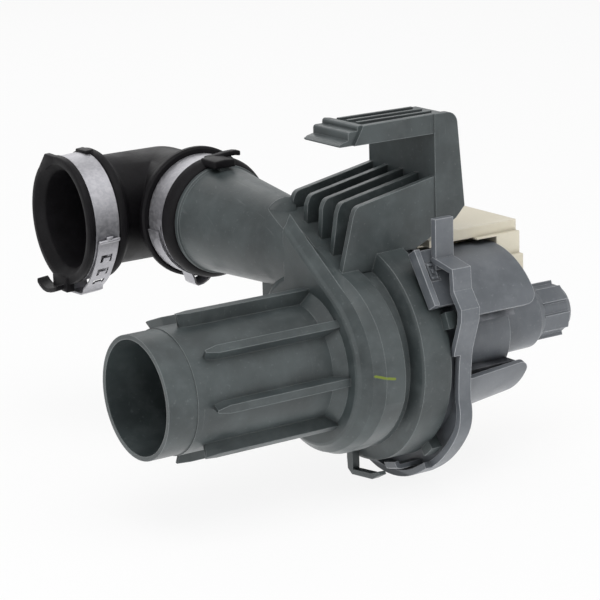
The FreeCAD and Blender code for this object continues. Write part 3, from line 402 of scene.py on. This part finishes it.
def zinc_strip(name, tones):
    """Galvanised strip: flakes of zinc, each with its own grey and gloss, and bright cut edges."""
    dull, pale = tones
    material, tree = blank_material(name)
    corner = placed(tree, edge_group, {"Radius": 0.0002})
    marks = placed(tree, marks_group)
    place = object_place(tree)
    flake = node(tree, "ShaderNodeTexVoronoi", {"Vector": place, "Scale": 1100.0}).outputs["Color"]
    grey = node(tree, "ShaderNodeSeparateColor", {"Color": flake}).outputs[0]
    cloud = noise(tree, place, 420.0, 4.0, 0.6)
    colour = tint(tree, ramp(tree, grey, 0.0, 1.0, 0.25, 0.85), dull, pale)
    colour = tint(tree, ramp(tree, cloud, 0.42, 0.7, 0.0, 0.6), colour, dull)
    colour = tint(tree, product(tree, corner.outputs["Edge"], 0.6), colour, pale)
    shine = ramp(tree, grey, 0.0, 1.0, 0.44, 0.54)
    lines = noise(tree, stretched(tree, place, (400.0, 400.0, 3000.0)), 1.0)
    height = maths(tree, "ADD", product(tree, cloud, 0.7), product(tree, lines, 0.4))
    height = maths(tree, "SUBTRACT", height, marks.outputs["Scratches"])
    normal = raised(tree, height, corner.outputs["Normal"], 0.25, 0.0001)
    finish_material(tree, colour, shine, normal, 0.9)
    return material


def inner_metal(name, tones, roughness, fine):
    """Turned or drawn metal with fine tool lines round the pump axis."""
    dull, bright = tones
    material, tree = blank_material(name)
    corner = placed(tree, edge_group, {"Radius": 0.0002})
    lines = noise(tree, stretched(tree, object_place(tree), (fine, 40.0, 40.0)), 1.0)
    colour = tint(tree, lines, dull, bright)
    colour = tint(tree, product(tree, corner.outputs["Edge"], 0.5), colour, bright)
    shine = ramp(tree, lines, 0.3, 0.7, roughness, roughness + 0.12)
    normal = raised(tree, lines, corner.outputs["Normal"], 0.2, 0.00005)
    finish_material(tree, colour, shine, normal, 1.0)
    return material


def laminated_steel(name, tones):
    """Stack of punched sheets, seen as fine lines across the pump axis, with a thin varnish."""
    dull, bright = tones
    material, tree = blank_material(name)
    corner = placed(tree, edge_group, {"Radius": 0.0002})
    place = object_place(tree)
    sheet = maths(tree, "PINGPONG", coordinate(tree, place, X), 0.00025)
    gap = ramp(tree, sheet, 0.00006, 0.00001)
    cloud = noise(tree, place, 140.0, 4.0)
    colour = tint(tree, ramp(tree, cloud, 0.3, 0.7), dull, bright)
    colour = tint(tree, product(tree, gap, 0.7), colour, dull)
    shine = ramp(tree, cloud, 0.3, 0.7, 0.38, 0.55)
    normal = raised(tree, maths(tree, "SUBTRACT", 1.0, gap), corner.outputs["Normal"], 0.5, 0.0001)
    finish_material(tree, colour, shine, normal, 0.8)
    return material


def wound_wire(name, tones):
    """Layer of enamelled wire wound along the core leg, with a painted highlight along the crown of each
    wire.
    """
    dull, bright = tones
    material, tree = blank_material(name)
    place = object_place(tree)
    wire = maths(tree, "PINGPONG", coordinate(tree, place, Y), 0.0002)
    crown = ramp(tree, wire, 0.0, 0.0002)
    cloud = noise(tree, place, 220.0, 3.0)
    # Painted highlight: the bright tone laid on the crown of each wire, in patches
    colour = tint(tree, product(tree, crown, ramp(tree, cloud, 0.2, 0.8)), dull, bright)
    face = node(tree, "ShaderNodeNewGeometry").outputs["Normal"]
    normal = raised(tree, crown, face, 0.8, 0.0002)
    finish_material(tree, colour, ramp(tree, cloud, 0.3, 0.7, 0.28, 0.45), normal, 0.7)
    return material


def all_finishes():
    """Finish of each CAD node, by the node's name."""
    housing = moulding("volute grey plastic", housing_tones, 0.42, 0.45, reach=0.008, dash=True)
    carrier = moulding("carrier blue grey plastic", carrier_tones, 0.4)
    cover = moulding("cover cream plastic", cover_tones, 0.45, 0.35, 0.1)
    bobbin = moulding("bobbin natural plastic", bobbin_tones, 0.5)
    impeller = moulding("impeller dark plastic", impeller_tones, 0.45)
    ceramic = moulding("washer ceramic", washer_tones, 0.3)
    ferrite = moulding("rotor ferrite", magnet_tones, 0.5)
    graphite = moulding("bearing graphite", sleeve_tones, 0.35)
    elbow = soft_rubber("elbow black rubber", elbow_tones)
    seal = soft_rubber("seal black rubber", seal_tones)
    zinc = zinc_strip("clamp zinc strip", zinc_tones)
    steel = inner_metal("shaft bright steel", shaft_tones, 0.22, 4000.0)
    stainless = inner_metal("plate stainless", plate_tones, 0.3, 2500.0)
    tinned = inner_metal("blade tinned brass", blade_tones, 0.32, 1500.0)
    core = laminated_steel("core laminations", core_tones)
    copper = wound_wire("coil enamelled copper", wire_tones)
    return {
        "volute_housing": housing, "motor_carrier": carrier, "coil_cover": cover,
        "outlet_elbow": elbow, "outlet_clamp": zinc, "discharge_clamp": zinc,
        "housing_seal": seal, "front_bearing_cup": seal, "rear_bearing_cup": seal,
        "wear_ring": stainless, "bearing_plate": stainless, "impeller": impeller, "impeller_shroud": impeller,
        "impeller_nut": steel, "rotor_shaft": steel, "front_bearing": graphite, "rear_bearing": graphite,
        "front_thrust_washer": ceramic, "rear_thrust_washer": ceramic,
        "rotor_magnet": ferrite, "rotor_jacket": bobbin, "stator_core": core, "core_rivets": steel,
        "upper_bobbin": bobbin, "lower_bobbin": bobbin, "upper_coil": copper, "lower_coil": copper,
        "terminal_blades": tinned,
    }


def dress_nodes(finishes):
    for name, material in finishes.items():
        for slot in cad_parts[name].material_slots:
            slot.material = material


# Mesh helpers, in millimetres
def kept_piece(name, shape, material, hides=()):
    """Closes the seams, shades the faces, sets the finish and fastens the piece to the housing."""
    bmesh.ops.remove_doubles(shape, verts=shape.verts, dist=merge_gap)
    bmesh.ops.recalc_face_normals(shape, faces=shape.faces)
    for face in shape.faces:
        face.smooth = True
    for edge in shape.edges:
        edge.smooth = edge.calc_face_angle(0.0) < math.radians(shaded_sharp)
    bmesh.ops.scale(shape, verts=shape.verts, vec=(MM, MM, MM))
    mesh = bpy.data.meshes.new(name)
    shape.to_mesh(mesh)
    shape.free()
    mesh.materials.append(material)
    piece = bpy.data.objects.new(name, mesh)
    bpy.context.scene.collection.objects.link(piece)
    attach(piece, "housing")
    if hides:
        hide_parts(*hides)


def merged(shape, part):
    """Adds a part to a shape and frees it."""
    mesh = bpy.data.meshes.new("part")
    part.to_mesh(mesh)
    part.free()
    shape.from_mesh(mesh)
    bpy.data.meshes.remove(mesh)


def lathe(shape, profile, centre, axis, out, turn=math.tau, steps=spin_steps):
    """Spins a line of (run along the axis, radius) points round the axis."""
    verts = [shape.verts.new(centre + axis * run + out * radius) for run, radius in profile]
    edges = [shape.edges.new(pair) for pair in zip(verts, verts[1:])]
    bmesh.ops.spin(shape, geom=verts + edges, cent=centre, axis=axis, angle=turn, steps=steps,
                   use_merge=turn == math.tau)


def pushed(shape, points, places, closed=False):
    """Pushes a line or loop of points on from place to place; gives the faces of each step."""
    verts = [shape.verts.new(Vector(point) + Vector(places[0])) for point in points]
    ends = verts[1:] + verts[:1] if closed else verts[1:]
    edges = [shape.edges.new(pair) for pair in zip(verts, ends)]
    rows = []
    for before, after in zip(places, places[1:]):
        grown = bmesh.ops.extrude_edge_only(shape, edges=edges)["geom"]
        fresh = {part for part in grown if isinstance(part, bmesh.types.BMVert)}
        edges = [part for part in grown if isinstance(part, bmesh.types.BMEdge) and set(part.verts) <= fresh]
        bmesh.ops.translate(shape, verts=list(fresh), vec=Vector(after) - Vector(before))
        rows.append([part for part in grown if isinstance(part, bmesh.types.BMFace)])
    return rows


def rounded_bar(shape, outline, places, rounding):
    """Closed bar with rounded edges: an outline pushed from place to place."""
    bar = bmesh.new()
    pushed(bar, outline, places, closed=True)
    bmesh.ops.holes_fill(bar, edges=bar.edges, sides=0)
    bmesh.ops.recalc_face_normals(bar, faces=bar.faces)
    sharp = [edge for edge in bar.edges if edge.calc_face_angle(0.0) > math.radians(bevelled_sharp)]
    bmesh.ops.bevel(bar, geom=sharp, offset=rounding, offset_type="OFFSET", segments=3, profile=0.5,
                    affect="EDGES", material=-1, clamp_overlap=True)
    merged(shape, bar)


def oblong(across, up, low, high):
    """Rectangle in the plane of two axes, between its low and its high corner."""
    outline = []
    for first, second in ((low[0], low[1]), (high[0], low[1]), (high[0], high[1]), (low[0], high[1])):
        point = [0.0, 0.0, 0.0]
        point[across] = first
        point[up] = second
        outline.append(tuple(point))
    return outline


def polar(degrees, radius):
    """Place on a ring round X: 0 at the top, 90 on the near side."""
    turn = math.radians(degrees)
    return (0.0, -radius * math.sin(turn), radius * math.cos(turn))


def arc(start, end, radius, step=3.0):
    count = max(int(round(abs(end - start) / step)), 1)
    return [(start + (end - start) * i / count, radius) for i in range(count + 1)]


# Rubber elbow
def collar(start, shoulder_r):
    """Collar behind a band, down to the body of the leg: points of (place along the leg, radius)."""
    return [
        (start, shoulder_r), (start + 0.7, 24.8), (start + 2.2, 24.9), (start + 3.3, 24.2),
        (start + 3.8, 22.9), (start + 4.8, 21.6), (start + 6.6, elbow_body_r),
    ]


def socket_wall():
    """Wall of the leg on the discharge pipe: bore, stop, lip, band seat and collar."""
    start = socket_start
    seat = start + socket_lip
    return [
        (bend.y, elbow_bore_r), (start + 19.8, elbow_bore_r), (start + 19.2, 18.8),
        (start + 18.7, socket_bore_r), (start + 0.4, socket_bore_r), (start, 19.7), (start, 20.5),
        (start + 0.4, 21.2), (start + 1.5, 22.2), (start + 3.4, 22.9), (start + 5.1, 23.0), (seat, 22.6),
        (seat, socket_seat_r), (seat + seat_wide, socket_seat_r), *collar(seat + seat_wide, 24.1),
        (bend.y, elbow_body_r),
    ]


def mouth_wall():
    """Wall of the free leg: bore, flared mouth, lip, band seat and collar."""
    start = mouth_start
    seat = start + mouth_lip
    return [
        (bend.x, elbow_bore_r), (start + 30.2, elbow_bore_r), (start + 29.8, mouth_bore_r),
        (start + 3.8, mouth_bore_r), (start + 3.0, 18.8), (start + 2.2, 19.6), (start + 0.8, 20.9),
        (start + 0.2, 21.4), (start, 22.0), (start, 23.5), (start + 0.3, 24.2), (start + 1.0, 24.5),
        (start + 2.3, 24.5), (seat, 24.2), (seat, mouth_seat_r), (seat + seat_wide, mouth_seat_r),
        *collar(seat + seat_wide, 24.2), (bend.x, elbow_body_r),
    ]


def elbow_leg(shape, wall, axis, out):
    """Spins one leg and cuts its inner half back to the mitre of the bend."""
    known = set(shape.verts)
    lathe(shape, wall, bend - axis * bend.dot(axis), axis, out)
    for vert in shape.verts:
        if vert in known:
            continue
        off = vert.co - bend
        if abs(off.dot(axis)) < on_plane and off.dot(out) < -on_plane:
            vert.co += axis * off.dot(out)


def elbow_bend(shape):
    """Spins the outer half of the corner from one leg round to the other."""
    outer = [vert for vert in shape.verts
             if abs(vert.co.y - bend.y) < on_plane and vert.co.x > bend.x - on_plane]
    ends = set(outer)
    rim = [edge for edge in shape.edges if set(edge.verts) <= ends]
    bmesh.ops.spin(shape, geom=outer + rim, cent=bend, axis=along_z, angle=math.pi / 2.0, steps=bend_steps)


def ring_bar(shape, points, start, end, rounding):
    """Rounded bar along the free leg, measured from its mouth, over an outline of (angle, radius) points."""
    outline = [polar(angle, radius) for angle, radius in points]
    places = [(mouth_start + run, bend.y, bend.z) for run in (start, end)]
    rounded_bar(shape, outline, places, rounding)


def pull_tab(shape):
    """Curled tab under the mouth, and the root that carries it."""
    section = oblong(X, Z, (-4.2, -0.9), (1.0, 0.9))
    curl = ((-2.4, -25.1), (0.0, -26.0), (3.5, -27.0), (7.0, -27.5), (10.0, -27.3), (12.6, -26.4),
            (14.8, -25.1))
    rounded_bar(shape, section, [(mouth_start, bend.y + y, bend.z + z) for y, z in curl], 0.45)
    root = oblong(X, Y, (-0.8, -4.4), (2.7, 7.4))
    rounded_bar(shape, root, [(mouth_start, bend.y, bend.z + z) for z in (-27.3, -21.5)], 0.5)


def tongue_and_key(shape):
    """Tongue that lies over the collar, and the key on the pipe that it locks on."""
    tongue = [(-6.2, 0.0, 20.6), (3.0, 0.0, 20.6), (2.8, 0.0, 23.3), (-1.6, 0.0, 23.7), (-6.0, 0.0, 23.3)]
    slope = ((3.4, 0.0), (-6.6, -0.2))
    rounded_bar(shape, tongue, [(bend.x, socket_start + y, bend.z + z) for y, z in slope], 0.5)
    key = oblong(Y, Z, (1.8, -1.1), (5.2, 0.8))
    crest = ((-3.6, 22.7), (1.4, 23.1), (5.4, 23.6), (8.4, 23.7), (10.7, 23.3))
    rounded_bar(shape, key, [(bend.x + x, socket_start, bend.z + z) for x, z in crest], 0.5)


def sagged(shape):
    """The free end hangs a little and its mouth leans, as soft rubber does."""
    for vert in shape.verts:
        share = (sag_start_x - vert.co.x) / (sag_start_x - mouth_start)
        share = min(max(share, 0.0), 1.15)
        share = share * share * (3.0 - 2.0 * min(share, 1.0))
        vert.co.z -= mouth_sag * share
        vert.co.x += mouth_lean * (vert.co.y - bend.y) * share


def outlet_elbow(material):
    shape = bmesh.new()
    elbow_leg(shape, socket_wall(), along_y, along_x)
    elbow_bend(shape)
    elbow_leg(shape, mouth_wall(), along_x, along_y)
    bmesh.ops.remove_doubles(shape, verts=shape.verts, dist=merge_gap)
    pull_tab(shape)
    # Pointed corner of the lip, then the strap over the band
    lip_corner = ((-42.0, 22.0), (-40.0, 24.3), (-24.0, 26.3), (-9.0, 24.3), (-7.0, 22.0))
    ring_bar(shape, lip_corner, 0.1, 2.7, 0.4)
    strap = ((-12.0, 23.9), (-11.0, 25.4), (8.0, 25.4), (9.0, 23.9))
    ring_bar(shape, strap, 10.8, 14.1, 0.35)
    sagged(shape)
    tongue_and_key(shape)
    # Mould seam inside the mouth
    seam = ((102.6, 18.2), (104.0, 18.2), (104.0, 19.0), (102.6, 19.0))
    ring_bar(shape, seam, 3.6, 8.1, 0.1)
    kept_piece("elbow_rubber", shape, material, ("outlet_elbow",))


# Rubber seals
def span(name):
    """Start, end and outer radius of a CAD node that lies round the pump axis, in millimetres."""
    low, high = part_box(name)
    return low.x / MM, high.x / MM, high.z / MM


def rubber_ring(name, section, material, hides):
    """Ring round the pump axis, spun from its closed section of (place along X, radius) points."""
    shape = bmesh.new()
    lathe(shape, section + section[:1], Vector((0.0, 0.0, 0.0)), along_x, along_z)
    kept_piece(name, shape, material, (hides,))


def seal_ring(material):
    """O-ring between volute and motor carrier, a touch thinner than its solid."""
    start, end, outer = span("housing_seal")
    half = (end - start) / 2.0
    wire_r = half - seal_inset
    turns = [math.radians(angle) for angle in range(0, 360, 20)]
    section = [(start + half + wire_r * math.cos(turn), outer - half + wire_r * math.sin(turn))
               for turn in turns]
    rubber_ring("seal_ring", section, material, "housing_seal")


def bearing_cup(place, material):
    """Cup round a bearing, with a lip at each end."""
    hides = place + "_bearing_cup"
    start, end, outer = span(hides)
    bore_r = span(place + "_bearing")[2]
    section = [
        (start, bore_r), (end, bore_r), (end, outer - 0.3), (end - 0.3, outer), (end - 1.6, outer),
        (end - 2.0, outer - 0.2), (start + 2.0, outer - 0.2), (start + 1.6, outer), (start + 0.3, outer),
        (start, outer - 0.3),
    ]
    rubber_ring(place + "_cup_rubber", section, material, hides)


# Steel clamps
def strip(columns, path, windows=()):
    """Sheet strip along a path of (angle, radius); the middle of each window step stays open."""
    sheet = bmesh.new()
    points = [(column, 0.0, 0.0) for column in columns]
    rows = pushed(sheet, points, [polar(angle, radius) for angle, radius in path])
    gaps = []
    for count in windows:
        gaps += [face for face in rows[count] if columns[1] < face.calc_center_median().x < columns[2]]
    bmesh.ops.delete(sheet, geom=gaps, context="FACES")
    bmesh.ops.remove_doubles(sheet, verts=sheet.verts, dist=merge_gap)
    bmesh.ops.recalc_face_normals(sheet, faces=sheet.faces)
    bmesh.ops.solidify(sheet, geom=sheet.faces, thickness=strip_thick)
    return sheet


def joined(shape, part, place, turn=0.0):
    """Adds a part built round X to a shape, turned about Z and moved into place."""
    bmesh.ops.rotate(part, verts=part.verts, cent=(0.0, 0.0, 0.0), matrix=Matrix.Rotation(turn, 3, "Z"))
    bmesh.ops.translate(part, verts=part.verts, vec=place)
    merged(shape, part)


def slotted_tail():
    """Path of the outlet clamp's tail up to its last slot, and the steps of it that stay open."""
    path = arc(102.5, tail_slots[0][0], outlet_tail_r)
    windows = []
    for start, end, low, high in tail_slots:
        before, height = path[-1]
        if before < start:
            path += [((before + start) / 2.0, (height + low) / 2.0 - 0.05), (start, low)]
        windows.append(len(path) - 1)
        path.append((end, high))
    return path, windows


def outlet_clamp(material):
    """Band with a slotted tail that runs straight into a low ear, raised hooks in its slots."""
    shape = bmesh.new()
    place = Vector((mouth_start + mouth_lip + band_gap, bend.y, bend.z))
    joined(shape, strip(outlet_columns, arc(0.0, 360.0, outlet_band_r)), place)
    tail, windows = slotted_tail()
    ear = [(155.0, 27.3), (158.0, 27.5), (159.6, 28.0), (160.6, 29.0), (165.0, 29.3), (184.0, 29.0),
           (187.0, 27.6), (191.0, 24.4)]
    joined(shape, strip(tail_columns, tail + ear, windows), place)
    for start, end, low, high in tail_slots:
        hook = [(end, high), ((start + end) / 2.0 + 1.0, (low + high) / 2.0 + 0.4), (start + 2.6, low + 0.4)]
        joined(shape, strip(hook_columns, hook), place)
    # Rolled end of the band, and the small bump beside it
    roll = [polar(angle, 0.75) for angle in range(0, 360, 45)]
    for angle, radius, start, end in ((101.8, 25.2, 0.5, 8.9), (99.4, 25.0, 3.7, 6.1)):
        centre = place + Vector(polar(angle, radius))
        rounded_bar(shape, roll, [centre + along_x * start, centre + along_x * end], 0.2)
    sagged(shape)
    kept_piece("outlet_clamp_strip", shape, material, ("outlet_clamp",))


def discharge_clamp(material):
    """Band with a slit beside its tail, and an ear curled like a leaf."""
    shape = bmesh.new()
    place = Vector((bend.x, socket_start + socket_lip + band_gap, bend.z))
    quarter = math.pi / 2.0
    slit = arc(268.0, 214.0, discharge_band_r)
    band = slit + arc(211.0, -92.0, discharge_band_r)
    joined(shape, strip(discharge_columns, band, range(len(slit) - 1)), place, quarter)
    ear = [(199.5, 24.6), (196.5, 26.6), (193.5, 27.2), (188.5, 26.4), (183.5, 25.0), (180.5, 23.7),
           (179.0, 22.8)]
    tail = arc(262.0, 203.0, discharge_tail_r) + ear
    joined(shape, strip(leaf_columns, tail), place, quarter)
    kept_piece("discharge_clamp_strip", shape, material, ("discharge_clamp",))


# Details of the mouldings
def snap_window(material):
    """Plate behind the window of the snap tab, with a raised catch and its hollow."""
    shape = bmesh.new()
    plate = oblong(X, Y, (101.0, 7.5), (105.5, 14.5))
    rounded_bar(shape, plate, [(0.0, 0.0, tab_low + 0.3), (0.0, 0.0, tab_low + 1.95)], 0.1)
    ribs = (
        ((101.4, 8.1), (102.3, 13.9)), ((104.2, 8.1), (105.1, 13.9)), ((102.0, 8.1), (104.5, 9.0)),
        ((102.0, 13.0), (104.5, 13.9)), ((102.7, 10.2), (103.8, 11.8)),
    )
    for low, high in ribs:
        rib = oblong(X, Y, low, high)
        rounded_bar(shape, rib, [(0.0, 0.0, tab_low + 1.0), (0.0, 0.0, tab_low + 2.5)], 0.2)
    turn = Matrix.Rotation(math.radians(tab_angle), 3, "X")
    bmesh.ops.rotate(shape, verts=shape.verts, cent=(0.0, 0.0, 0.0), matrix=turn)
    kept_piece("snap_catch", shape, material)


def pipe_shoulder(material):
    """Rounded shoulder where the roof of the scroll runs up onto the discharge pipe."""
    shape = bmesh.new()
    section = [(26.2, 4.0), (26.2, 10.72), (25.6, 10.55), (24.9, 10.0), (24.1, 9.0), (22.6, 6.6), (20.6, 4.0)]
    out = Matrix.Rotation(math.radians(shoulder_start), 3, "Y") @ along_z
    centre = Vector((bend.x, 0.0, shoulder_z))
    lathe(shape, section + section[:1], centre, along_y, out, math.radians(shoulder_turn), shoulder_steps)
    bmesh.ops.remove_doubles(shape, verts=shape.verts, dist=merge_gap)
    bmesh.ops.holes_fill(shape, edges=shape.edges, sides=0)
    kept_piece("pipe_shoulder", shape, material)


# Studio
def seen_directly(tree):
    """One for rays that show a background: from the camera, a reflection or through glass."""
    path = node(tree, "ShaderNodeLightPath")
    seen = maths(tree, "MAXIMUM", path.outputs["Is Camera Ray"], path.outputs["Is Glossy Ray"])
    return maths(tree, "MAXIMUM", seen, path.outputs["Is Transmission Ray"])


def studio_world():
    """Even pale light, and plain white where it is seen."""
    world = bpy.data.worlds.new("studio")
    world.use_nodes = True
    tree = world.node_tree
    tree.nodes.clear()
    strength = ramp(tree, seen_directly(tree), 0.0, 1.0, world_level, 1.0)
    background = node(tree, "ShaderNodeBackground", {"Color": white, "Strength": strength})
    output = node(tree, "ShaderNodeOutputWorld")
    tree.links.new(background.outputs[0], output.inputs["Surface"])
    bpy.context.scene.world = world


def studio_floor(height):
    """Pale floor that glows nearly white where it is seen and still takes a soft shadow."""
    mesh = bpy.data.meshes.new("floor")
    shape = bmesh.new()
    bmesh.ops.create_grid(shape, x_segments=1, y_segments=1, size=floor_half)
    bmesh.ops.translate(shape, verts=shape.verts, vec=(0.0, 0.0, height))
    shape.to_mesh(mesh)
    shape.free()
    floor = bpy.data.objects.new("floor", mesh)
    bpy.context.scene.collection.objects.link(floor)
    material, tree = blank_material("studio floor")
    diffuse = node(tree, "ShaderNodeBsdfDiffuse", {"Color": floor_white})
    glow = node(tree, "ShaderNodeEmission", {"Color": white, "Strength": 1.0})
    share = product(tree, seen_directly(tree), floor_glow)
    mixed = node(tree, "ShaderNodeMixShader", {0: share, 1: diffuse.outputs[0], 2: glow.outputs[0]})
    output = node(tree, "ShaderNodeOutputMaterial")
    tree.links.new(mixed.outputs[0], output.inputs["Surface"])
    mesh.materials.append(material)


def soft_box(name, place, aim, size, power):
    lamp = bpy.data.lights.new(name, "AREA")
    lamp.shape = "RECTANGLE"
    lamp.size, lamp.size_y = size
    lamp.energy = power
    holder = bpy.data.objects.new(name, lamp)
    holder.location = place
    holder.rotation_euler = (Vector(aim) - Vector(place)).to_track_quat("-Z", "Y").to_euler()
    holder.visible_camera = False
    bpy.context.scene.collection.objects.link(holder)


def studio():
    centre = (cad_bounds[0] + cad_bounds[1]) * 0.5
    floor_z = cad_bounds[0].z - floor_drop
    studio_world()
    studio_floor(floor_z)
    for name, (place, size, power) in soft_boxes.items():
        soft_box(name, place, centre, size, power)
    table = Vector((*table_place, floor_z + 2.0 * MM))
    soft_box("light table", table, table + along_z, table_size, table_power)
    bpy.context.scene.view_settings.view_transform = "Standard"


def photo_camera():
    """Camera at the photograph's viewing angle, with the frame's origin at its place in the picture."""
    azimuth, elevation, roll = (math.radians(angle) for angle in (view_azimuth, view_elevation, view_roll))
    level = math.cos(elevation)
    back = Vector((math.sin(azimuth) * level, -math.cos(azimuth) * level, math.sin(elevation)))
    right = Vector((math.cos(azimuth), math.sin(azimuth), 0.0))
    up = back.cross(right)
    side = right * math.cos(roll) + up * math.sin(roll)
    top = up * math.cos(roll) - right * math.sin(roll)
    turn = Matrix((side, top, back)).transposed()
    middle = frame_px / 2.0
    px_mm = view_distance / view_focal_px
    origin = Vector(((origin_px[0] - middle) * px_mm, (middle - origin_px[1]) * px_mm, -view_distance))
    data = bpy.data.cameras.new("camera")
    data.sensor_width = sensor_mm
    data.lens = view_focal_px / frame_px * sensor_mm
    data.clip_start = 0.01
    camera = bpy.data.objects.new("camera", data)
    camera.matrix_world = Matrix.Translation(-(turn @ origin) * MM) @ turn.to_4x4()
    bpy.context.scene.collection.objects.link(camera)
    bpy.context.scene.camera = camera


photo_camera()
finishes = all_finishes()
dress_nodes(finishes)
outlet_elbow(finishes["outlet_elbow"])
seal_ring(finishes["housing_seal"])
bearing_cup("front", finishes["front_bearing_cup"])
bearing_cup("rear", finishes["rear_bearing_cup"])
outlet_clamp(finishes["outlet_clamp"])
discharge_clamp(finishes["discharge_clamp"])
pipe_shoulder(finishes["volute_housing"])
snap_window(finishes["motor_carrier"])
studio()
